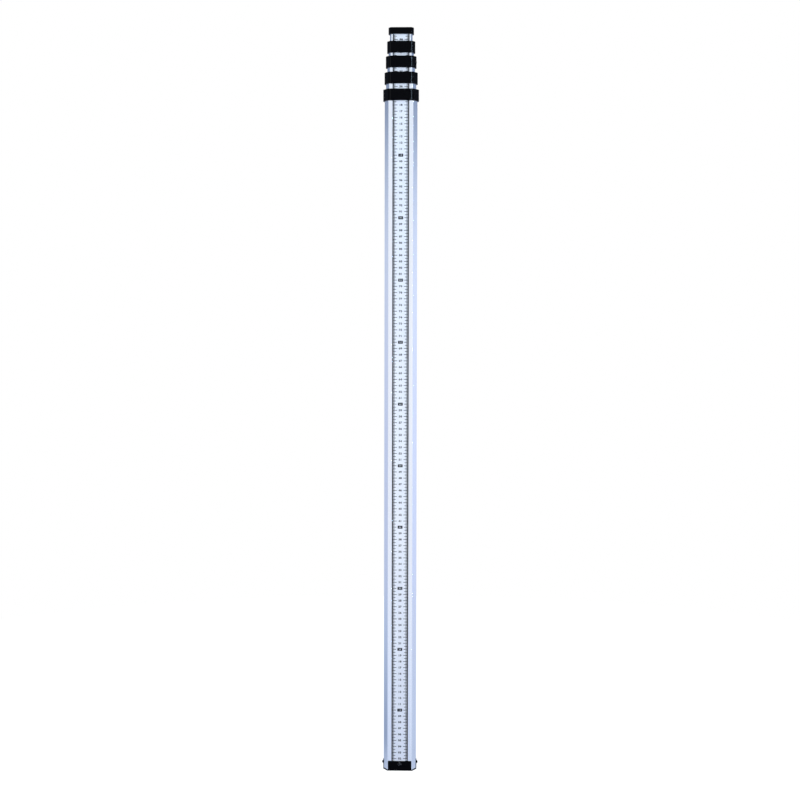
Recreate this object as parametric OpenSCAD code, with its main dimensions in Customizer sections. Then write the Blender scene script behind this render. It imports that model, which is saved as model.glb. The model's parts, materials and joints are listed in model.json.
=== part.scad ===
// Telescopic levelling rod: five nested aluminium sections that slide out of each other
// and lock with sprung buttons. Millimetres, +Z up the rod, origin at the centre of the
// base's underside. The face with millimetre graduations looks towards -Y.

/* [Sections] */
// Width of the outermost tube, side to side
rod_w = 52.6; // [51:0.1:56]
// Width of the outermost tube's flat front face
face_w = 39.8; // [38:0.1:41]
// Depth of the narrow flat along each side, the same on every tube
side_flat = 5.8; // [5.6:0.1:7]
// Angle between the front face and the sloping flanks
flank_angle = 60; // [58:0.5:62]
// How much narrower each section is than the one around it, on each side
section_step = 2.05; // [2:0.05:2.3]
// Wall thickness of the tubes' front and rear faces
wall = 1.2; // [1.1:0.05:1.2]
// Length of the closed rod
rod_h = 1204.5; // [1200:0.5:1210]
// How far sections 2 to 5 each slide out
strokes = [950.2, 945.7, 949.4, 949.4]; // [900:0.1:955]

/* [Graduated strips] */
// Width of the shallow channel along the front and rear faces
channel_w = 27.3; // [20:0.1:29]
// Depth of the channel
channel_d = 0.4; // [0.3:0.05:0.6]
// Width of the graduated strip in the channel
strip_w = 26.9; // [18:0.1:28.9]
// Thickness of the graduated strip
strip_t = 0.2; // [0.1:0.05:0.3]

/* [Collars] */
// Height of each collar
collar_h = 18.5; // [16:0.5:20]
// Thickness of a collar's side wall
collar_t = 2.4; // [1.6:0.1:2.6]
// Heights of the collars' tops on the closed rod
collar_tops = [1105.8, 1132.9, 1158.7, 1182.5]; // [1080:0.1:1190]
// Thickness of the lip that covers the tube's end
lip_h = 2.5; // [1.5:0.5:4]
// Gap between the lip and the next tube, on each side
lip_gap = 0.3; // [0.2:0.05:0.5]
// Width of the raised pad on a collar's front and rear
pad_w = 33.2; // [30:0.1:33.4]
// Width of the pad's sloping edges
pad_slope = 1; // [0.5:0.1:1.1]
// How far the pad stands out
pad_t = 0.35; // [0.2:0.05:0.6]

/* [Base and top] */
// Thickness of the base cap's flange under the tube
base_flange_h = 1.6; // [1:0.1:2.5]
// How far the flange reaches past the tube's side
base_flange_out = 0.8; // [0.5:0.1:1.6]
// Height of the base cap's front, rear and side tabs
base_tab_h = 16; // [14.5:0.1:18]
// Width of the base cap's front and rear tabs
base_tab_w = 38.5; // [30:0.5:39.5]
// Thickness of the base cap's side tabs
side_tab_t = 0.8; // [0.5:0.05:1]
// Height of the base cap's plug inside the tube
base_plug_top = 12.9; // [12.7:0.1:13]
// Height of the base screws' axes
base_screw_z = 11.2; // [9:0.1:11.3]
// Width of the top cap
top_cap_w = 40.7; // [39:0.1:41.2]
// Height of the top cap
top_cap_h = 10.5; // [9:0.1:11]

/* [Slide feet and locks] */
// Spacing of the feet on the closed rod
foot_pitch = 25.6; // [25:0.1:26]
// Thickness of a foot's sliding flange
foot_flange_h = 2.5; // [2:0.1:3]
// Height of a lock button's axis above its foot
button_up = 7.5; // [7.3:0.1:9]
// Radius of a lock button's stem
button_r = 2.5; // [2.2:0.05:2.5]
// Travel of a lock button
button_travel = 1.95; // [1.5:0.05:2]

/* [Hidden] */
$fn = 48;

sections = 5;
cut = 0.5;                 // how far a cut runs past the surface it opens
fixed_gap = 0.03;          // clearance of parts that are fastened to each other
plug_gap = 0.06;           // clearance of a plug inside its tube
rest_gap = 0.5;            // gap between a foot and what it stands over
flange_gap = 0.16;         // sliding clearance of a foot's flange in the tube around it
nose_gap = 0.1;            // how far a pressed button's nose stays inside the next tube's bore
rivet_r = 1.5;
rivet_head_r = 2.5;
rivet_head_h = 1;
proud_rivet_h = 0.5;       // height of the one rivet head that stands proud
foot_rivet_r = 1.25;
foot_rivet_head_r = 2.2;
foot_rivet_head_h = 0.9;
foot_rivet_l = 5;
foot_rivet_up = 7;         // height of a foot's rivets above its bottom and below its top
screw_r = 1.25;
screw_l = 9;
screw_head_r = 2.8;
side_screw_head_h = 2.1;
face_screw_head_h = 1.1;
cross_w = 0.8;             // width of the cross recess in a screw's head
cross_l = 3;
cross_d = 0.7;
button_hole_gap = 0.15;    // clearance of a button's stem in its own tube
lock_hole_gap = 0.2;       // clearance of a button's stem in the tube that it locks to
nose_h = 0.85;             // height of the dome on a button's nose
shoulder_r = 3.92;
shoulder_t = 1.2;
pocket_r = 4;
spigot_r = 1.4;
spigot_l = 2.5;
spring_l = 8;
spring_coil_r = 2.2;
spring_wire_r = 0.3;
spring_turns = 5;
spring_steps = 12;         // rings for each turn of a spring
spring_sides = 6;
foot_wall = 2.4;           // thickness of a foot's hollow part
cap_plug_l = 14;
cap_rivet_l = 6;
cap_roof_t = 2.5;
strip_tuck = 1;            // how far the first strip reaches under the base cap's tab

silver = [0.80, 0.85, 0.92];
black = [0.06, 0.06, 0.07];
steel = [0.62, 0.64, 0.67];
white = [0.93, 0.95, 0.97];

// A cross-section is an octagon. An inward offset narrows each half of it by that much, its
// front face by half as much, and keeps its side flat, so every nested outline is parallel.
function half_w(o) = rod_w / 2 - o;
function half_face(o) = (face_w - o) / 2;
function half_d(o) = side_flat / 2 + (half_w(o) - half_face(o)) * tan(flank_angle);
function tube_o(k) = (k - 1) * section_step;
function bore_o(k) = tube_o(k) + wall / (tan(flank_angle) / 2);

// Heights on the closed rod
function foot_z(k) = base_plug_top + rest_gap + (k - 2) * foot_pitch;
function foot_top(k) = foot_z(k) + foot_pitch - rest_gap;
function button_z(k) = foot_z(k) + button_up;
function tube_bottom(k) = k == 1 ? base_flange_h : foot_z(k) + foot_flange_h;
function tube_top(k) = k == sections ? rod_h - cap_roof_t : collar_tops[k - 1] - lip_h;
function collar_mid(k) = collar_tops[k - 1] - collar_h / 2;
function foot_rivet_heights(k) = [foot_z(k) + foot_rivet_up, foot_top(k) - foot_rivet_up];
cap_rivet_z = rod_h - top_cap_h / 2;
cap_o = (rod_w - top_cap_w) / 2;

// Places of a lock button's parts along X. Its shoulder is wider than the tube's side flat, so
// it stops against the sloping flanks.
shoulder_drop = (shoulder_r - side_flat / 2) / tan(flank_angle) + fixed_gap;
function nose_x(k) = half_w(bore_o(k - 1)) - nose_gap;
function shoulder_x(k) = half_w(bore_o(k)) - button_travel - shoulder_drop;
function spring_x(k) = shoulder_x(k) - shoulder_t;
function pocket_x(k) = spring_x(k) - spring_l;

module outline(o) {
  x = half_w(o);
  xf = half_face(o);
  y = half_d(o);
  ys = side_flat / 2;
  polygon([[-xf, -y], [xf, -y], [x, -ys], [x, ys], [xf, y], [-xf, y], [-x, ys], [-x, -ys]]);
}

// A prism of the outline between two heights
module bar(o, z0, z1) {
  translate([0, 0, z0]) linear_extrude(z1 - z0) outline(o);
}

// A round bar along +X that starts at x0
module rod_x(x0, z, r, l) {
  translate([x0, 0, z]) rotate([0, 90, 0]) cylinder(r = r, h = l);
}

// Places its children at both ends of the X axis, the second turned half way round
module both_sides() {
  children();
  rotate([0, 0, 180]) children();
}

// Turns +Z to point out of the right side, at a distance x and a height z
module on_side(x, z) {
  translate([x, 0, z]) rotate([0, 90, 0]) children();
}

// Turns +Z to point out of the front face, at a distance y and a height z
module on_face(y, z) {
  translate([0, -y, z]) rotate([90, 0, 0]) children();
}

// Countersunk rivet, its flush end at z = 0 and its shank below it
module rivet(r, head_r, head_h, l) {
  translate([0, 0, -l]) cylinder(r = r, h = l);
  translate([0, 0, -head_h]) cylinder(r1 = r, r2 = head_r, h = head_h);
}

// Part of a ball that stands h high on a disc of radius r
module dome(r, h) {
  ball_r = (r * r + h * h) / (2 * h);
  intersection() {
    cylinder(r = r, h = h);
    translate([0, 0, h - ball_r]) sphere(r = ball_r, $fn = 96);
  }
}

// Pan-head screw with a cross recess, the underside of its head at z = 0
module screw(head_h) {
  difference() {
    union() {
      translate([0, 0, -screw_l]) cylinder(r = screw_r, h = screw_l);
      dome(screw_head_r, head_h);
    }
    translate([-cross_l / 2, -cross_w / 2, head_h - cross_d]) cube([cross_l, cross_w, cross_d + cut]);
    translate([-cross_w / 2, -cross_l / 2, head_h - cross_d]) cube([cross_w, cross_l, cross_d + cut]);
  }
}

module tube(k) {
  z0 = tube_bottom(k);
  z1 = tube_top(k);
  xb = half_w(bore_o(k));
  xo = half_w(tube_o(k));
  color(silver) difference() {
    bar(tube_o(k), z0, z1);
    bar(bore_o(k), z0 - cut, z1 + cut);
    both_sides() {
      translate([-channel_w / 2, -half_d(tube_o(k)) - cut, z0 - cut])
        cube([channel_w, channel_d + cut, z1 - z0 + 2 * cut]);
    }
    if (k == 1) {
      both_sides() rod_x(xb - cut, base_screw_z, screw_r + fixed_gap, 3 * cut + xo - xb);
      both_sides() on_face(half_d(bore_o(k)) - cut, base_screw_z)
        cylinder(r = screw_r + fixed_gap, h = wall + 2 * cut);
    }
    if (k > 1) {
      rod_x(xb - cut, button_z(k), button_r + button_hole_gap, 3 * cut + xo - xb);
      for (z = foot_rivet_heights(k)) rotate([0, 0, 180]) rivet_seat(xo, z);
    }
    if (k < sections) {
      lock_hole(k, button_z(k + 1));
      lock_hole(k, button_z(k + 1) + strokes[k - 1]);
      both_sides() rod_x(xb - cut, collar_mid(k), rivet_r + fixed_gap, 3 * cut + xo - xb);
    }
    if (k == sections) {
      both_sides() rod_x(xb - cut, cap_rivet_z, rivet_r + fixed_gap, 3 * cut + xo - xb);
    }
  }
}

// Hole in tube k's right side for the button of the section inside it
module lock_hole(k, z) {
  xb = half_w(bore_o(k));
  rod_x(xb - cut, z, button_r + lock_hole_gap, half_w(tube_o(k)) - xb + 3 * cut);
}

// Countersunk hole for a foot's rivet
module rivet_seat(x, z) {
  on_side(x, z) {
    rivet(foot_rivet_r + fixed_gap, foot_rivet_head_r + fixed_gap, foot_rivet_head_h, foot_rivet_l + cut);
    cylinder(r = foot_rivet_head_r + fixed_gap, h = cut);
  }
}

// Raised pads on a collar's front and rear, joined through it, their side edges sloped
module collar_pads(y) {
  x = pad_w / 2;
  xs = x + pad_slope;
  yp = y + pad_t;
  linear_extrude(collar_h)
    polygon([[-xs, -y], [-x, -yp], [x, -yp], [xs, -y], [xs, y], [x, yp], [-x, yp], [-xs, y]]);
}

module collar(k) {
  o = tube_o(k) - collar_t;
  z1 = collar_tops[k - 1];
  z0 = z1 - collar_h;
  color(black) difference() {
    union() {
      bar(o, z0, z1);
      translate([0, 0, z0]) collar_pads(half_d(o));
    }
    bar(tube_o(k) - fixed_gap, z0 - cut, z1 - lip_h);
    bar(tube_o(k + 1) - lip_gap, z0 - cut, z1 + cut);
    both_sides() on_side(half_w(o), collar_mid(k)) {
      rivet(rivet_r + fixed_gap, rivet_head_r + fixed_gap, rivet_head_h, collar_t + cut);
      cylinder(r = rivet_head_r + fixed_gap, h = cut);
    }
  }
}

module collar_rivets(k) {
  x = half_w(tube_o(k)) + collar_t;
  l = x - half_w(bore_o(k)) - fixed_gap;
  color(steel) {
    both_sides() on_side(x, collar_mid(k)) rivet(rivet_r, rivet_head_r, rivet_head_h, l);
    if (k == 3) on_side(x, collar_mid(k)) dome(rivet_head_r, proud_rivet_h);
  }
}

module base_cap() {
  y0 = half_d(0);
  y1 = half_d(-base_flange_out);
  x0 = half_w(0);
  color(black) difference() {
    union() {
      bar(-base_flange_out, 0, base_flange_h);
      bar(bore_o(1) + plug_gap, 0, base_plug_top);
      both_sides() {
        translate([-base_tab_w / 2, -y1, 0]) cube([base_tab_w, y1 - y0, base_tab_h]);
        translate([x0, -side_flat / 2, 0]) cube([side_tab_t, side_flat, base_tab_h]);
      }
    }
    both_sides() rod_x(x0 - screw_l, base_screw_z, screw_r + fixed_gap, 2 * screw_l);
    both_sides() on_face(y1 - screw_l - cut, base_screw_z)
      cylinder(r = screw_r + fixed_gap, h = screw_l + 2 * cut);
  }
}

module base_side_screws() {
  color(black) both_sides() on_side(half_w(0) + side_tab_t, base_screw_z) screw(side_screw_head_h);
}

module base_face_screws() {
  color(black) both_sides() on_face(half_d(-base_flange_out), base_screw_z) screw(face_screw_head_h);
}

module top_cap() {
  z0 = rod_h - top_cap_h;
  zt = tube_top(sections);
  color(black) difference() {
    union() {
      bar(cap_o, z0, rod_h);
      bar(bore_o(sections) + plug_gap, zt - cap_plug_l, rod_h);
    }
    difference() {
      bar(tube_o(sections) - fixed_gap, z0 - cut, zt + fixed_gap);
      bar(bore_o(sections) + plug_gap, z0 - 2 * cut, zt + 2 * cut);
    }
    both_sides() on_side(half_w(cap_o), cap_rivet_z) {
      rivet(rivet_r + fixed_gap, rivet_head_r + fixed_gap, rivet_head_h, cap_rivet_l + cut);
      cylinder(r = rivet_head_r + fixed_gap, h = cut);
    }
  }
}

module top_cap_rivets() {
  color(black) both_sides() on_side(half_w(cap_o), cap_rivet_z)
    rivet(rivet_r, rivet_head_r, rivet_head_h, cap_rivet_l);
}

// Moulded foot of an inner section: a flange that slides in the tube around it, and a plug
// that is riveted into its own tube and holds the lock button in a cross bore
module slide_foot(k) {
  z0 = foot_z(k);
  z1 = foot_top(k);
  zf = z0 + foot_flange_h;
  plug_o = bore_o(k) + plug_gap;
  core_x = half_w(plug_o) - foot_wall;
  core_y = half_d(plug_o) - foot_wall;
  color(black) difference() {
    union() {
      bar(bore_o(k - 1) + flange_gap, z0, zf);
      bar(plug_o, z0, z1);
    }
    translate([-core_x, -core_y, zf]) cube([core_x, 2 * core_y, z1 - zf + cut]);
    rod_x(pocket_x(k), button_z(k), pocket_r, spring_l + half_w(plug_o));
    for (z = foot_rivet_heights(k)) rotate([0, 0, 180]) rivet_seat(half_w(tube_o(k)), z);
  }
}

module foot_rivets(k) {
  color(steel) for (z = foot_rivet_heights(k)) rotate([0, 0, 180]) on_side(half_w(tube_o(k)), z)
    rivet(foot_rivet_r, foot_rivet_head_r, foot_rivet_head_h, foot_rivet_l);
}

// Lock button, held in while the sections slide: domed stem, retaining shoulder, spring spigot
module lock_button(k) {
  color(steel) {
    rod_x(spring_x(k), button_z(k), button_r, nose_x(k) - nose_h - spring_x(k));
    on_side(nose_x(k) - nose_h, button_z(k)) dome(button_r, nose_h);
    rod_x(spring_x(k), button_z(k), shoulder_r, shoulder_t);
    rod_x(spring_x(k) - spigot_l, button_z(k), spigot_r, spigot_l);
  }
}

// Compression spring along X behind a lock button, its round wire swept along a helix
module lock_spring(k) {
  rings = spring_turns * spring_steps;
  pitch = (spring_l - 2 * spring_wire_r - 2 * fixed_gap) / rings;
  points = [for (i = [0 : rings]) for (j = [0 : spring_sides - 1])
    let (a = 360 * i / spring_steps, b = 360 * j / spring_sides)
    let (r = spring_coil_r + spring_wire_r * cos(b))
    [pitch * i + spring_wire_r * sin(b), r * cos(a), r * sin(a)]];
  around = [for (i = [0 : rings - 1]) for (j = [0 : spring_sides - 1])
    let (n = spring_sides, m = (j + 1) % n)
    [i * n + j, (i + 1) * n + j, (i + 1) * n + m, i * n + m]];
  first = [for (j = [0 : spring_sides - 1]) j];
  last = [for (j = [spring_sides - 1 : -1 : 0]) rings * spring_sides + j];
  color(steel) translate([pocket_x(k) + spring_wire_r + fixed_gap, 0, button_z(k)])
    polyhedron(points = points, faces = concat(around, [first], [last]), convexity = 10);
}

// Graduated strip on the floor of a tube's channel. The first one ends under the base cap's tab.
module strip(k) {
  y = half_d(tube_o(k)) - channel_d;
  z0 = k == 1 ? base_tab_h - strip_tuck : tube_bottom(k);
  color(white) translate([-strip_w / 2, -y - strip_t, z0]) cube([strip_w, strip_t, tube_top(k) - z0]);
}

module rear_strip(k) {
  rotate([0, 0, 180]) strip(k);
}

tube(1);  // tube_1
tube(2);  // tube_2
tube(3);  // tube_3
tube(4);  // tube_4
tube(5);  // tube_5
collar(1);  // collar_1
collar(2);  // collar_2
collar(3);  // collar_3
collar(4);  // collar_4
collar_rivets(1);  // collar_rivets_1
collar_rivets(2);  // collar_rivets_2
collar_rivets(3);  // collar_rivets_3
collar_rivets(4);  // collar_rivets_4
base_cap();
base_side_screws();
base_face_screws();
top_cap();
top_cap_rivets();
slide_foot(2);  // slide_foot_2
slide_foot(3);  // slide_foot_3
slide_foot(4);  // slide_foot_4
slide_foot(5);  // slide_foot_5
foot_rivets(2);  // foot_rivets_2
foot_rivets(3);  // foot_rivets_3
foot_rivets(4);  // foot_rivets_4
foot_rivets(5);  // foot_rivets_5
lock_button(2);  // lock_button_2
lock_button(3);  // lock_button_3
lock_button(4);  // lock_button_4
lock_button(5);  // lock_button_5
lock_spring(2);  // lock_spring_2
lock_spring(3);  // lock_spring_3
lock_spring(4);  // lock_spring_4
lock_spring(5);  // lock_spring_5
strip(1);  // front_strip_1
strip(2);  // front_strip_2
strip(3);  // front_strip_3
strip(4);  // front_strip_4
strip(5);  // front_strip_5
rear_strip(1);  // rear_strip_1
rear_strip(2);  // rear_strip_2
rear_strip(3);  // rear_strip_3
rear_strip(4);  // rear_strip_4
rear_strip(5);  // rear_strip_5
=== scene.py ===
"""Looks of a telescopic levelling rod: materials, graduations, light and camera.

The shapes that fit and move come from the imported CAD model. This script gives them their
finishes and prints the two scales: millimetres on the front, an E pattern on the rear.
"""

import json
import math

import bpy
import numpy as np
from mathutils import Matrix, Vector


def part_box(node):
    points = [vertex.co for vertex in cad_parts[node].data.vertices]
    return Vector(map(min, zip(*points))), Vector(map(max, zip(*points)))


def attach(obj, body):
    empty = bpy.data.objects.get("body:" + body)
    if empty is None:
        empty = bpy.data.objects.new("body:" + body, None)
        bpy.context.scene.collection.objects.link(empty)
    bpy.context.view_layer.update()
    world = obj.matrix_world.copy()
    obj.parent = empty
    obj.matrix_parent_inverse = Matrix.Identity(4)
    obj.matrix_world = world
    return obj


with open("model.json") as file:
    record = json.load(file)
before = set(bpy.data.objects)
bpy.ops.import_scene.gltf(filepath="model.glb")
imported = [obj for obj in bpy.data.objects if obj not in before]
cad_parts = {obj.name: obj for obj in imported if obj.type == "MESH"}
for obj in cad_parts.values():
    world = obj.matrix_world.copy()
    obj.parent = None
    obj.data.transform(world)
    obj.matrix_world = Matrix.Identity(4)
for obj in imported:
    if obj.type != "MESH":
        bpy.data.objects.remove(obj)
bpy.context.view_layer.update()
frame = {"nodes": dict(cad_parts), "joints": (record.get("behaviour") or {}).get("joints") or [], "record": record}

NODES = frame["nodes"]
SECTIONS = range(1, 6)
MM = 0.001
WHITE = (1, 1, 1)
BLACK = (0, 0, 0)

# Camera: its place in metres, its angles in degrees, its lens and sensor in millimetres
CAMERA_PLACE = (0.0679, -2.4136, 0.7161)
CAMERA_PITCH_DOWN = 2.609
CAMERA_TURN_LEFT = 1.633
CAMERA_ROLL = 0.112
CAMERA_LENS = 66.89
SENSOR_WIDTH = 36

# Ink: how far it stands out of a strip and how far it reaches in, and the steps round a corner
INK_PROUD = 0.03 * MM
INK_SUNK = 0.05 * MM
CORNER_STEPS = 4

# Front scale. A border and a reach are distances from the rod's centre line, a tick is its
# thickness, a pitch is the distance between digits, a weight is in the font's units and a lift in
# thicknesses of ink.
# Between the two border distances lies a grey band on each edge: partly the printed border, partly painted shade
# where the channel's side walls shade the strip.
BORDER_AND_SHADE_INNER = 11.35 * MM
BORDER_AND_SHADE_OUTER = 13.4 * MM
MM_TICK_REACH = 9.0 * MM
HALF_CM_TICK_REACH = 7.1 * MM
CM_TICK_REACH = 5.45 * MM
BOX_TICK_REACH = 6.0 * MM
MM_TICK = 0.48 * MM
CM_TICK = 0.92 * MM
HALF_CM_TICK = 0.9 * MM
LABEL_H = 3.35 * MM
LABEL_DIGIT_W = 2.5 * MM
LABEL_PITCH = 2.65 * MM
LABEL_WEIGHT = 0.05
BOX_W = 7.9 * MM
BOX_H = 4.8 * MM
BOX_R = 0.9 * MM
BOX_NUMERAL_H = 2.3 * MM
BOX_DIGIT_W = 1.6 * MM
BOX_PITCH = 2.2 * MM
BOX_WEIGHT = 0
BOX_NUMERAL_LIFT = 0.4

# Rear scale. The bars of an E start at its stem and end at REAR_BAR_END from the centre line, and
# a number stands only where REAR_NUMERAL_ROOM of the strip's height is free for it.
REAR_HALF_W = 13 * MM
REAR_STEM_W = 3 * MM
REAR_BAR_END = 1.5 * MM
REAR_BLOCK = 10 * MM
REAR_NUMERAL_U = 7 * MM
REAR_NUMERAL_ROOM = 40 * MM
REAR_DIGIT_H = REAR_NUMERAL_ROOM / 3
REAR_DIGIT_W = 4.6 * MM
REAR_PITCH = 5.5 * MM

# Rounding of the CAD pieces' edges. The aluminium's stays narrow, because the lock holes come
# close to the edges of the tubes' sides.
EDGE_RADIUS = {
    "anodised_aluminium": 0.09 * MM,
    "black_plastic": 0.2 * MM,
    "foot_plastic": 0.15 * MM,
}
EDGE_ANGLE = math.radians(25)
EDGE_SEGMENTS = 2
WELD_DISTANCE = 0.002 * MM

# Colours of the surroundings in front of the rod, and at its sides and back, each from straight
# below (0) through the horizon (0.5) to straight above (1). Up is tipped a little to the right.
WORLD_UP = (0.005, 0, 1)
WORLD_FRONT = [
    (0.0, (0.3, 0.36, 0.5)), (0.36, (0.7, 0.78, 0.95)), (0.44, (1.04, 1.02, 1)),
    (0.53, (1.1, 1.06, 1.03)), (0.6, (0.88, 0.95, 1)), (1, (0.6, 0.65, 0.72)),
]
WORLD_SIDE = [
    (0.0, (0.15, 0.2, 0.3)), (0.38, (0.59, 0.66, 0.85)), (0.46, (0.72, 0.78, 0.96)),
    (0.525, (0.8, 0.86, 1)), (0.548, (0.78, 0.86, 1)), (0.572, (0.16, 0.22, 0.34)),
    (1, (0.18, 0.23, 0.33)),
]

# Floor: its radius in metres, and its colours as shiny pieces see it. Behind the rod they go from
# 1 m to the left (0) to 1 m to the right (1), and before it from the near edge (0) to the rod (1).
FLOOR_RADIUS = 1.6
FLOOR_BEHIND = [
    (0, (0.38, 0.45, 0.58)), (0.4, (0.16, 0.21, 0.32)), (0.6, (0.42, 0.48, 0.6)),
    (1, (0.52, 0.56, 0.68)),
]
FLOOR_BEFORE = [(0, (0.86, 0.88, 0.93)), (0.8, (0.56, 0.6, 0.7)), (1, (0.52, 0.56, 0.66))]


# ---------------------------------------------------------------- camera, floor and light

def make_camera():
    data = bpy.data.cameras.new("camera")
    data.lens = CAMERA_LENS
    data.sensor_width = SENSOR_WIDTH
    camera = bpy.data.objects.new("camera", data)
    bpy.context.scene.collection.objects.link(camera)
    turn = Matrix.Rotation(math.radians(CAMERA_TURN_LEFT), 4, "Z")
    pitch = Matrix.Rotation(math.radians(90 - CAMERA_PITCH_DOWN), 4, "X")
    roll = Matrix.Rotation(math.radians(CAMERA_ROLL), 4, "Z")
    camera.matrix_world = Matrix.Translation(CAMERA_PLACE) @ turn @ pitch @ roll
    bpy.context.scene.camera = camera


def node(tree, kind, **settings):
    """A new shader node. A setting that starts with in_ is an input's value, any other is a
    property."""
    made = tree.nodes.new(kind)
    for name, value in settings.items():
        if name.startswith("in_"):
            made.inputs[name[3:].replace("_", " ")].default_value = value
        else:
            setattr(made, name, value)
    return made


def ramp(tree, stops, interpolation="EASE"):
    """A colour ramp from (position, (r, g, b)) stops."""
    made = tree.nodes.new("ShaderNodeValToRGB")
    band = made.color_ramp
    band.interpolation = interpolation
    while len(band.elements) < len(stops):
        band.elements.new(1)
    for element, (position, colour) in zip(band.elements, stops):
        element.position = position
        element.color = (*colour, 1)
    return made


def make_world():
    """Soft studio surroundings: nearly white in front of the rod, cooler and dimmer at its sides
    and back and towards the floor and ceiling, and a little brighter on the right. The camera
    itself sees plain white."""
    world = bpy.data.worlds.new("studio")
    bpy.context.scene.world = world
    world.use_nodes = True
    tree = world.node_tree
    link = tree.links.new
    tree.nodes.clear()
    direction = node(tree, "ShaderNodeTexCoord")
    parts = node(tree, "ShaderNodeSeparateXYZ")
    link(direction.outputs["Generated"], parts.inputs[0])
    level = node(tree, "ShaderNodeVectorMath", operation="DOT_PRODUCT")
    level.inputs[1].default_value = WORLD_UP
    link(direction.outputs["Generated"], level.inputs[0])
    height = node(tree, "ShaderNodeMapRange", in_From_Min=-1, in_From_Max=1)
    link(level.outputs["Value"], height.inputs["Value"])
    front = ramp(tree, WORLD_FRONT)
    side = ramp(tree, WORLD_SIDE)
    link(height.outputs[0], front.inputs[0])
    link(height.outputs[0], side.inputs[0])
    facing = node(tree, "ShaderNodeMapRange", interpolation_type="SMOOTHSTEP",
                  in_From_Min=0.3, in_From_Max=-0.7)
    link(parts.outputs["Y"], facing.inputs["Value"])
    around = node(tree, "ShaderNodeMix", data_type="RGBA")
    link(facing.outputs[0], around.inputs["Factor"])
    link(side.outputs[0], around.inputs[6])
    link(front.outputs[0], around.inputs[7])
    from_right = node(tree, "ShaderNodeMapRange", in_From_Min=-1, in_From_Max=1,
                      in_To_Min=0.88, in_To_Max=1.12)
    link(parts.outputs["X"], from_right.inputs["Value"])
    lit = node(tree, "ShaderNodeBackground")
    link(around.outputs[2], lit.inputs["Color"])
    link(from_right.outputs[0], lit.inputs["Strength"])
    plain = node(tree, "ShaderNodeBackground", in_Color=(*WHITE, 1), in_Strength=1)
    path = node(tree, "ShaderNodeLightPath")
    seen = node(tree, "ShaderNodeMixShader")
    link(path.outputs["Is Camera Ray"], seen.inputs[0])
    link(lit.outputs[0], seen.inputs[1])
    link(plain.outputs[0], seen.inputs[2])
    output = node(tree, "ShaderNodeOutputWorld")
    link(seen.outputs[0], output.inputs["Surface"])


def area_light(name, place, target, width, height, power, colour, soft=True, shiny=True):
    """A rectangular light. One that isn't soft shows in shiny surfaces only, and one that isn't
    shiny on matt ones only."""
    data = bpy.data.lights.new(name, "AREA")
    data.shape = "RECTANGLE"
    data.size = width
    data.size_y = height
    data.energy = power
    data.color = colour
    light = bpy.data.objects.new(name, data)
    light.visible_diffuse = soft
    light.visible_glossy = shiny
    light.visible_camera = False
    bpy.context.scene.collection.objects.link(light)
    away = Vector(place) - Vector(target)
    turn = away.to_track_quat("Z", "Y").to_matrix().to_4x4()
    light.matrix_world = Matrix.Translation(place) @ turn


def make_lights():
    area_light("overhead", place=(0, -0.6, 3.2), target=(0, 0, 0), width=3.0, height=3.0,
               power=7, colour=(0.95, 0.97, 0.95))
    area_light("front", place=(0, -0.75, 0.4), target=(0, 0, 0.4), width=0.8, height=0.4,
               power=1.85, colour=(0.98, 1, 0.93), shiny=False)
    area_light("front_top", place=(0, -0.75, 1.12), target=(0, 0, 1.12), width=0.8, height=0.2,
               power=1.7, colour=(0.48, 0.72, 1), shiny=False)
    area_light("right_strip", place=(1.56, -1.95, 0.85), target=(0, 0, 0.75), width=0.07,
               height=2.0, power=45, colour=(0.5, 0.75, 1), soft=False)


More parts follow.
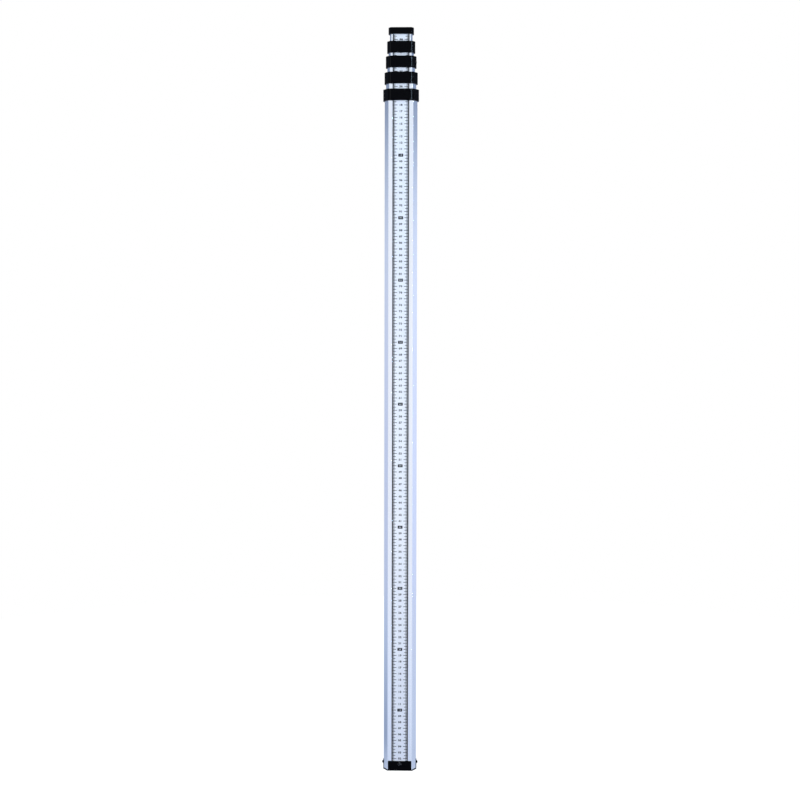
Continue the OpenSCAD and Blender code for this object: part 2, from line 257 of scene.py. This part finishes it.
def make_floor():
    """A floor that the camera sees as near white. Shiny pieces see it in the colours of
    FLOOR_BEHIND and FLOOR_BEFORE, and matt ones get a faint blue light from it."""
    bpy.ops.mesh.primitive_circle_add(vertices=96, radius=FLOOR_RADIUS, fill_type="NGON")
    floor = bpy.context.object
    floor.name = "floor"
    material = bpy.data.materials.new("floor")
    material.use_nodes = True
    tree = material.node_tree
    tree.nodes.clear()
    link = tree.links.new
    matt = node(tree, "ShaderNodeBsdfDiffuse", in_Color=(0.34, 0.34, 0.34, 1))
    seen = node(tree, "ShaderNodeEmission", in_Color=(*WHITE, 1), in_Strength=0.92)
    place = node(tree, "ShaderNodeTexCoord")
    parts = node(tree, "ShaderNodeSeparateXYZ")
    link(place.outputs["Object"], parts.inputs[0])
    behind = node(tree, "ShaderNodeMapRange", interpolation_type="SMOOTHSTEP",
                  in_From_Min=-0.12, in_From_Max=0.1)
    link(parts.outputs["Y"], behind.inputs["Value"])
    rightwards = node(tree, "ShaderNodeMapRange", in_From_Min=-1, in_From_Max=1)
    link(parts.outputs["X"], rightwards.inputs["Value"])
    back_shade = ramp(tree, FLOOR_BEHIND, "LINEAR")
    link(rightwards.outputs[0], back_shade.inputs[0])
    inwards = node(tree, "ShaderNodeMapRange", in_From_Min=-FLOOR_RADIUS, in_From_Max=0)
    link(parts.outputs["Y"], inwards.inputs["Value"])
    front_shade = ramp(tree, FLOOR_BEFORE, "LINEAR")
    link(inwards.outputs[0], front_shade.inputs[0])
    shade = node(tree, "ShaderNodeMix", data_type="RGBA")
    link(front_shade.outputs[0], shade.inputs[6])
    link(behind.outputs[0], shade.inputs["Factor"])
    link(back_shade.outputs[0], shade.inputs[7])
    glossy = node(tree, "ShaderNodeEmission", in_Strength=1)
    link(shade.outputs[2], glossy.inputs["Color"])
    soft = node(tree, "ShaderNodeEmission", in_Color=(0.02, 0.09, 0.34, 1), in_Strength=1)
    path = node(tree, "ShaderNodeLightPath")
    thrown = node(tree, "ShaderNodeMixShader")
    link(path.outputs["Is Glossy Ray"], thrown.inputs[0])
    link(soft.outputs[0], thrown.inputs[1])
    link(glossy.outputs[0], thrown.inputs[2])
    glow = node(tree, "ShaderNodeMixShader")
    link(path.outputs["Is Camera Ray"], glow.inputs[0])
    link(thrown.outputs[0], glow.inputs[1])
    link(seen.outputs[0], glow.inputs[2])
    whole = node(tree, "ShaderNodeAddShader")
    link(matt.outputs[0], whole.inputs[0])
    link(glow.outputs[0], whole.inputs[1])
    output = node(tree, "ShaderNodeOutputMaterial")
    link(whole.outputs[0], output.inputs["Surface"])
    floor.data.materials.append(material)


# ---------------------------------------------------------------- materials

class Finish:
    """A Principled material under construction, with its object coordinates at hand."""

    def __init__(self, name, base, metallic, roughness, specular=0.5):
        self.material = bpy.data.materials.new(name)
        self.material.use_nodes = True
        self.tree = self.material.node_tree
        self.shader = self.tree.nodes["Principled BSDF"]
        self.shader.inputs["Base Color"].default_value = (*base, 1)
        self.shader.inputs["Metallic"].default_value = metallic
        self.shader.inputs["Roughness"].default_value = roughness
        self.shader.inputs["Specular IOR Level"].default_value = specular
        coordinates = self.tree.nodes.new("ShaderNodeTexCoord").outputs
        self.place = coordinates["Object"]
        self.facing = coordinates["Normal"]

    def link(self, source, target):
        self.tree.links.new(source, target)

    def noise(self, scale, detail=3, rough=0.5):
        """Noise in object space, scale a number or one for each axis."""
        stretch = node(self.tree, "ShaderNodeMapping")
        stretch.inputs["Scale"].default_value = scale if hasattr(scale, "__len__") else (scale,) * 3
        self.link(self.place, stretch.inputs["Vector"])
        made = node(self.tree, "ShaderNodeTexNoise", in_Scale=1, in_Detail=detail,
                    in_Roughness=rough)
        self.link(stretch.outputs[0], made.inputs["Vector"])
        return made.outputs["Fac"]

    def between(self, factor, low, high, start=0.3, end=0.7):
        """A number that goes from low to high as the factor goes from start to end."""
        made = node(self.tree, "ShaderNodeMapRange", in_From_Min=start, in_From_Max=end,
                    in_To_Min=low, in_To_Max=high)
        self.link(factor, made.inputs["Value"])
        return made.outputs[0]

    def colours(self, factor, stops):
        """The colour that a factor picks from (position, (r, g, b)) stops."""
        made = ramp(self.tree, stops, "LINEAR")
        self.link(factor, made.inputs[0])
        return made.outputs[0]

    def mix(self, factor, a, b):
        """Mixes colour a, an output or a plain colour, with the plain colour b."""
        made = node(self.tree, "ShaderNodeMix", data_type="RGBA")
        self.link(factor, made.inputs["Factor"])
        if isinstance(a, tuple):
            made.inputs[6].default_value = (*a, 1)
        else:
            self.link(a, made.inputs[6])
        made.inputs[7].default_value = (*b, 1)
        return made.outputs[2]

    def tinted(self, a, b):
        """Colour a multiplied by colour b."""
        made = node(self.tree, "ShaderNodeMix", data_type="RGBA", blend_type="MULTIPLY")
        made.inputs["Factor"].default_value = 1
        self.link(a, made.inputs[6])
        self.link(b, made.inputs[7])
        return made.outputs[2]

    def multiply(self, a, b):
        """The product of two numbers."""
        made = node(self.tree, "ShaderNodeMath", operation="MULTIPLY")
        self.link(a, made.inputs[0])
        self.link(b, made.inputs[1])
        return made.outputs[0]

    def edges(self, radius, start, end):
        """A mask of the edges within a radius: how far a rounded normal leans from the true one."""
        rounded = node(self.tree, "ShaderNodeBevel", samples=6, in_Radius=radius)
        flat = node(self.tree, "ShaderNodeNewGeometry")
        lean = node(self.tree, "ShaderNodeVectorMath", operation="DOT_PRODUCT")
        self.link(rounded.outputs[0], lean.inputs[0])
        self.link(flat.outputs["Normal"], lean.inputs[1])
        return self.between(lean.outputs["Value"], 0, 1, start, end)

    def colour(self, source):
        self.link(source, self.shader.inputs["Base Color"])

    def roughness(self, source):
        self.link(source, self.shader.inputs["Roughness"])

    def bump(self, source, distance, strength=1.0):
        made = node(self.tree, "ShaderNodeBump", in_Strength=strength, in_Distance=distance)
        self.link(source, made.inputs["Height"])
        self.link(made.outputs[0], self.shader.inputs["Normal"])


def anodised_aluminium():
    """Satin anodised extrusion: faint lines along its length, and a cloudy sheen."""
    finish = Finish("anodised_aluminium", (0.82, 0.86, 0.95), metallic=1, roughness=0.23)
    lines = finish.noise((1100, 1100, 3), detail=4, rough=0.65)
    cloud = finish.noise((18, 18, 5), detail=3)
    tint = finish.colours(lines, [(0.3, (0.79, 0.835, 0.935)), (0.7, (0.85, 0.885, 0.965))])
    dull = finish.colours(cloud, [(0.3, (0.96, 0.97, 0.985)), (0.7, WHITE)])
    finish.colour(finish.tinted(tint, dull))
    finish.roughness(finish.between(cloud, 0.2, 0.27))
    finish.bump(lines, 0.006 * MM)
    return finish.material


def printed_strip():
    """White polyester film with a soft sheen, a very fine tooth and uneven handling dirt."""
    finish = Finish("printed_strip", (0.82, 0.83, 0.87), metallic=0, roughness=0.38,
                    specular=0.4)
    dirt = finish.noise((60, 60, 9), detail=4, rough=0.6)
    finish.colour(finish.colours(dirt, [(0.3, (0.80, 0.815, 0.86)), (0.7, (0.84, 0.85, 0.89))]))
    finish.roughness(finish.between(dirt, 0.34, 0.44))
    finish.bump(finish.noise(2500, detail=2), 0.004 * MM)
    return finish.material


def ink(name, base, specular=0.3, rough=0.45):
    """Printed ink that covers a little unevenly."""
    finish = Finish(name, base, metallic=0, roughness=rough, specular=specular)
    spread = finish.noise(900, detail=3, rough=0.6)
    thin = tuple(min(1, c * 1.25 + 0.006) for c in base)
    finish.colour(finish.colours(spread, [(0.35, base), (0.75, thin)]))
    finish.roughness(finish.between(spread, rough - 0.05, rough + 0.08))
    return finish.material


def moulded_plastic(name, base, scuffed, rough, specular, shine):
    """Moulded plastic: fine grain, edges rubbed lighter here and there, and parts that turn gently
    to the side shinier. Specular is for the flat parts and shine for those."""
    finish = Finish(name, base, metallic=0, roughness=rough, specular=specular)
    grain = finish.noise(3000, detail=2, rough=0.6)
    patches = finish.noise(140, detail=4, rough=0.65)
    rubbed = finish.multiply(finish.edges(0.35 * MM, start=0.995, end=0.8),
                             finish.between(patches, 0, 1, start=0.42, end=0.66))
    finish.colour(finish.mix(rubbed, base, scuffed))
    lean = node(finish.tree, "ShaderNodeMath", operation="ABSOLUTE")
    parts = node(finish.tree, "ShaderNodeSeparateXYZ")
    finish.link(finish.facing, parts.inputs[0])
    finish.link(parts.outputs["X"], lean.inputs[0])
    polished = finish.colours(lean.outputs[0],
                              [(0.15, BLACK), (0.25, WHITE), (0.45, WHITE), (0.6, BLACK)])
    finish.link(finish.between(polished, specular, shine, start=0, end=1),
                finish.shader.inputs["Specular IOR Level"])
    finish.roughness(finish.between(patches, rough - 0.05, rough + 0.05))
    finish.bump(grain, 0.006 * MM, 0.6)
    return finish.material


def blackened(name, base, rough, wear_and_glint):
    """Blackened steel or dull black paint: fine scratches, and edges in another colour. That edge colour is wear,
    and on the black screws it is also a painted glint: their light edges stand in for the glints of the head and
    its recess.
    """
    finish = Finish(name, base, metallic=0, roughness=rough, specular=0.08)
    scratches = finish.noise((5200, 700, 2600), detail=3, rough=0.7)
    dull = finish.colours(scratches, [(0.35, base), (0.75, tuple(c * 2.2 for c in base))])
    # Edges take the second colour: wear, and on the black screws also a painted glint.
    finish.colour(finish.mix(finish.edges(0.2 * MM, start=0.99, end=0.75), dull, wear_and_glint))
    finish.roughness(finish.between(scratches, rough - 0.06, rough + 0.08))
    finish.bump(scratches, 0.005 * MM)
    return finish.material


def metal(name, base, rough):
    """Turned or plated metal with fine scratches."""
    finish = Finish(name, base, metallic=1, roughness=rough)
    scratches = finish.noise((5200, 700, 2600), detail=3, rough=0.7)
    darker = tuple(c * 0.82 for c in base)
    finish.colour(finish.colours(scratches, [(0.3, darker), (0.7, base)]))
    finish.roughness(finish.between(scratches, rough - 0.06, rough + 0.06))
    finish.bump(scratches, 0.006 * MM)
    return finish.material


def make_materials():
    return {
        "anodised_aluminium": anodised_aluminium(),
        "printed_strip": printed_strip(),
        "black_plastic": moulded_plastic(
            "black_plastic", (0.0012, 0.0012, 0.002), scuffed=(0.005, 0.005, 0.007),
            rough=0.27, specular=0.03, shine=0.16),
        "foot_plastic": moulded_plastic(
            "foot_plastic", (0.016, 0.016, 0.017), scuffed=(0.05, 0.05, 0.05),
            rough=0.5, specular=0.3, shine=0.4),
        # The black screws' light edges are partly wear and partly a painted glint.
        "black_screw": blackened(
            "black_screw", (0.0025, 0.0025, 0.003), rough=0.2, wear_and_glint=(0.4, 0.41, 0.44)),
        "dark_rivet": blackened(
            "dark_rivet", (0.004, 0.004, 0.005), rough=0.3, wear_and_glint=(0.012, 0.012, 0.014)),
        "steel": metal("steel", (0.62, 0.64, 0.67), rough=0.24),
        "ink_black": ink("ink_black", (0.005, 0.005, 0.006), specular=0.1),
        # Grey for the bands along the strip's edges: partly printed border, partly painted shade of the channel's
        # side walls.
        "grey_ink_and_edge_shade": ink("grey_ink_and_edge_shade", (0.045, 0.045, 0.05)),
        "ink_red": ink("ink_red", (0.45, 0.012, 0.015)),
        "ink_white": ink("ink_white", (0.78, 0.82, 0.88)),
    }


def finish_cad_nodes(materials):
    """Gives every CAD node its slot's material, and rounded edges where EDGE_RADIUS has any."""
    slots = {part["node"]: part["material_slot"] for part in frame["record"]["subparts"]}
    for name, piece in NODES.items():
        slot = slots[name]
        piece.data.materials.clear()
        piece.data.materials.append(materials[slot])
        if slot in EDGE_RADIUS:
            weld = piece.modifiers.new("weld", "WELD")
            weld.merge_threshold = WELD_DISTANCE
            bevel = piece.modifiers.new("edges", "BEVEL")
            bevel.width = EDGE_RADIUS[slot]
            bevel.segments = EDGE_SEGMENTS
            bevel.limit_method = "ANGLE"
            bevel.angle_limit = EDGE_ANGLE
            bevel.harden_normals = True


# ---------------------------------------------------------------- graduations

class Print:
    """Thin closed shapes of ink on one strip, gathered into one mesh.

    Shapes are given in the strip's own plane: u to the reader's right, and the height z. Side is
    -1 for the strip on the front and 1 for the one on the rear. An ink index is a place in inks.
    """

    def __init__(self, strip, side, inks):
        low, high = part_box(strip)
        self.side = side
        face = low.y if side < 0 else high.y
        self.outer = face + side * INK_PROUD
        self.inner = face - side * INK_SUNK
        self.inks = inks
        self.points = []
        self.faces = []
        self.ink_of = []
        self.count = 0

    def add(self, points, faces, ink_index):
        """Points are rows of u, depth (0 outer, 1 inner) and z. Faces list point indices."""
        u, depth, z = points[:, 0], points[:, 1], points[:, 2]
        x = -self.side * u
        y = self.outer + depth * (self.inner - self.outer)
        self.points.append(np.column_stack([x, y, z]))
        self.faces.extend([[i + self.count for i in face] for face in faces])
        self.ink_of.extend([ink_index] * len(faces))
        self.count += len(points)

    def plate(self, outline, ink_index):
        """A closed plate from an outline that turns anticlockwise for the reader."""
        n = len(outline)
        flat = np.array(outline, float)
        front = np.column_stack([flat[:, 0], np.zeros(n), flat[:, 1]])
        back = np.column_stack([flat[:, 0], np.ones(n), flat[:, 1]])
        ends = [list(range(n)), list(range(2 * n - 1, n - 1, -1))]
        sides = [[i, i + n, (i + 1) % n + n, (i + 1) % n] for i in range(n)]
        self.add(np.vstack([front, back]), ends + sides, ink_index)

    def bar(self, u0, u1, z0, z1, ink_index):
        self.plate([(u0, z0), (u1, z0), (u1, z1), (u0, z1)], ink_index)

    def rounded(self, u, z, width, height, radius, ink_index):
        """A rectangle with round corners, centred on (u, z)."""
        outline = []
        for turn in range(4):
            cu = (width / 2 - radius) * (1 if turn in (0, 3) else -1)
            cz = (height / 2 - radius) * (1 if turn in (0, 1) else -1)
            for step in range(CORNER_STEPS + 1):
                a = math.radians(90 * (turn + step / CORNER_STEPS))
                outline.append((u + cu + radius * math.cos(a), z + cz + radius * math.sin(a)))
        self.plate(outline, ink_index)

    def number(self, shapes, text, u, z, height, pitch, digit_w, ink_index, lift=0.0):
        """Digits centred on (u, z). Lift brings them out over other ink, in ink thicknesses."""
        for place, digit in enumerate(text):
            points, faces = shapes[digit]
            centre = u + (place - (len(text) - 1) / 2) * pitch
            placed = points * (digit_w, 1, height) + (centre, 0, z)
            placed[:, 1] = np.where(points[:, 1] > 0.5, 1.0, -lift)
            self.add(placed, faces, ink_index)

    def make(self, name, body):
        mesh = bpy.data.meshes.new(name)
        mesh.from_pydata(np.vstack(self.points).tolist(), [], self.faces)
        for material in self.inks:
            mesh.materials.append(material)
        mesh.polygons.foreach_set("material_index", self.ink_of)
        mesh.update()
        piece = bpy.data.objects.new(name, mesh)
        bpy.context.scene.collection.objects.link(piece)
        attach(piece, body)
        return piece


def digit_shapes(weight):
    """Each digit as points and faces, centred on the origin, with a depth of 0 at the front and 1
    behind. The 0 is 1 wide and 1 high, and the others are drawn to its measure."""
    shapes = {}
    for digit in "0123456789":
        curve = bpy.data.curves.new("digit", "FONT")
        curve.body = digit
        curve.align_x = "CENTER"
        curve.resolution_u = 3
        curve.offset = weight
        curve.extrude = 0.05
        letter = bpy.data.objects.new("digit", curve)
        bpy.context.scene.collection.objects.link(letter)
        bpy.context.view_layer.update()
        evaluated = letter.evaluated_get(bpy.context.evaluated_depsgraph_get())
        mesh = bpy.data.meshes.new_from_object(evaluated)
        points = np.array([v.co for v in mesh.vertices], float)
        low, high = points.min(0), points.max(0)
        if digit == "0":
            width, tall = high[0] - low[0], high[1] - low[1]
            middle_z = (high[1] + low[1]) / 2
        middle_u = (high[0] + low[0]) / 2
        shaped = np.column_stack([(points[:, 0] - middle_u) / width,
                                  (points[:, 2] < 0).astype(float),
                                  (points[:, 1] - middle_z) / tall])
        shapes[digit] = (shaped, [list(face.vertices) for face in mesh.polygons])
        bpy.data.objects.remove(letter)
        bpy.data.meshes.remove(mesh)
        bpy.data.curves.remove(curve)
    return shapes


def scale_offsets():
    """How much further up the scale each section reads than its height on the closed rod."""
    offsets = {1: 0.0}
    for k in SECTIONS[1:]:
        slide = next(j for j in frame["joints"] if j["child"] == f"section_{k}")
        offsets[k] = offsets[k - 1] + slide["range_m"][1]
    return offsets


def centimetre_label(centimetre):
    """Two digits: the decimetre, or the metre's number in its first decimetre, and the
    centimetre."""
    metre, rest = divmod(centimetre, 100)
    return f"{rest:02d}" if rest >= 10 else f"{metre}{rest}"


def both_ways(sheet, reach, z, thickness, ink_index):
    """A tick on each side of the strip, from the border inwards."""
    sheet.bar(-BORDER_AND_SHADE_INNER, -reach, z - thickness / 2, z + thickness / 2, ink_index)
    sheet.bar(reach, BORDER_AND_SHADE_INNER, z - thickness / 2, z + thickness / 2, ink_index)


def print_front(k, offset, materials):
    """Millimetre, half-centimetre and centimetre ticks from both edges, a number at each centimetre, and a white
    number on a black box at each decimetre. Along each edge is a grey band that is partly the printed border and
    partly painted shade of the channel's side wall."""
    black, grey, white = 0, 1, 2
    strip = f"front_strip_{k}"
    inks = [materials["ink_black"], materials["grey_ink_and_edge_shade"], materials["ink_white"]]
    sheet = Print(strip, -1, inks)
    low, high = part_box(strip)
    # A grey band along each edge: partly the printed border, partly painted shade of the channel's side wall.
    for side in (-1, 1):
        u = sorted((side * BORDER_AND_SHADE_INNER, side * BORDER_AND_SHADE_OUTER))
        sheet.bar(u[0], u[1], low.z, high.z, grey)
    first = math.ceil((low.z + offset) / MM + CM_TICK / MM)
    last = math.floor((high.z + offset) / MM - CM_TICK / MM)
    for millimetre in range(first, last + 1):
        z = millimetre * MM - offset
        if millimetre % 10:
            half = millimetre % 5 == 0
            reach = HALF_CM_TICK_REACH if half else MM_TICK_REACH
            both_ways(sheet, reach, z, HALF_CM_TICK if half else MM_TICK, black)
            continue
        centimetre = millimetre // 10
        boxed = centimetre % 10 == 0
        both_ways(sheet, BOX_TICK_REACH if boxed else CM_TICK_REACH, z, CM_TICK, black)
        if z - BOX_H / 2 < low.z or z + BOX_H / 2 > high.z or centimetre == 0:
            continue
        text = centimetre_label(centimetre)
        if boxed:
            sheet.rounded(0, z, BOX_W, BOX_H, BOX_R, black)
            sheet.number(THIN_DIGITS, text, 0, z, BOX_NUMERAL_H, BOX_PITCH, BOX_DIGIT_W, white,
                         lift=BOX_NUMERAL_LIFT)
        else:
            sheet.number(BOLD_DIGITS, text, 0, z, LABEL_H, LABEL_PITCH, LABEL_DIGIT_W, black)
    return sheet.make(f"front_scale_{k}", f"section_{k}")


def print_rear(k, offset, materials):
    """Centimetre blocks for reading from afar: an E in the lower half of each decimetre on one
    side, its mirror in the upper half on the other, with the decimetre's number beside the E.
    The first, third and fifth metres are black, the others red."""
    strip = f"rear_strip_{k}"
    sheet = Print(strip, 1, [materials["ink_black"], materials["ink_red"]])
    low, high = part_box(strip)

    def clipped(u0, u1, z0, z1, ink_index):
        z0, z1 = max(z0, low.z), min(z1, high.z)
        if z1 - z0 > CM_TICK:
            sheet.bar(u0, u1, z0, z1, ink_index)

    first = math.floor((low.z + offset) / (100 * MM))
    last = math.floor((high.z + offset) / (100 * MM))
    for decimetre in range(first, last + 1):
        z = decimetre * 100 * MM - offset
        colour = (decimetre // 10) % 2
        for half, side in ((0, -1), (1, 1)):
            start = z + half * 5 * REAR_BLOCK
            stem = sorted((side * REAR_HALF_W, side * (REAR_HALF_W - REAR_STEM_W)))
            bars = sorted((side * (REAR_HALF_W - REAR_STEM_W), side * REAR_BAR_END))
            clipped(stem[0], stem[1], start, start + 5 * REAR_BLOCK, colour)
            for block in (0, 2, 4):
                low_edge = start + block * REAR_BLOCK
                clipped(bars[0], bars[1], low_edge, start + (block + 1) * REAR_BLOCK, colour)
        middle = z + 2.5 * REAR_BLOCK
        room = REAR_NUMERAL_ROOM / 2
        if decimetre > 0 and low.z < middle - room and middle + room < high.z:
            sheet.number(BOLD_DIGITS, f"{decimetre:02d}", REAR_NUMERAL_U, middle, REAR_DIGIT_H,
                         REAR_PITCH, REAR_DIGIT_W, colour)
    return sheet.make(f"rear_scale_{k}", f"section_{k}")


# ---------------------------------------------------------------- the scene

make_camera()
make_world()
make_lights()
make_floor()
bpy.context.scene.view_settings.view_transform = "Standard"
MATERIALS = make_materials()
finish_cad_nodes(MATERIALS)
BOLD_DIGITS = digit_shapes(LABEL_WEIGHT)
THIN_DIGITS = digit_shapes(BOX_WEIGHT)
for section, shift in scale_offsets().items():
    print_front(section, shift, MATERIALS)
    print_rear(section, shift, MATERIALS)
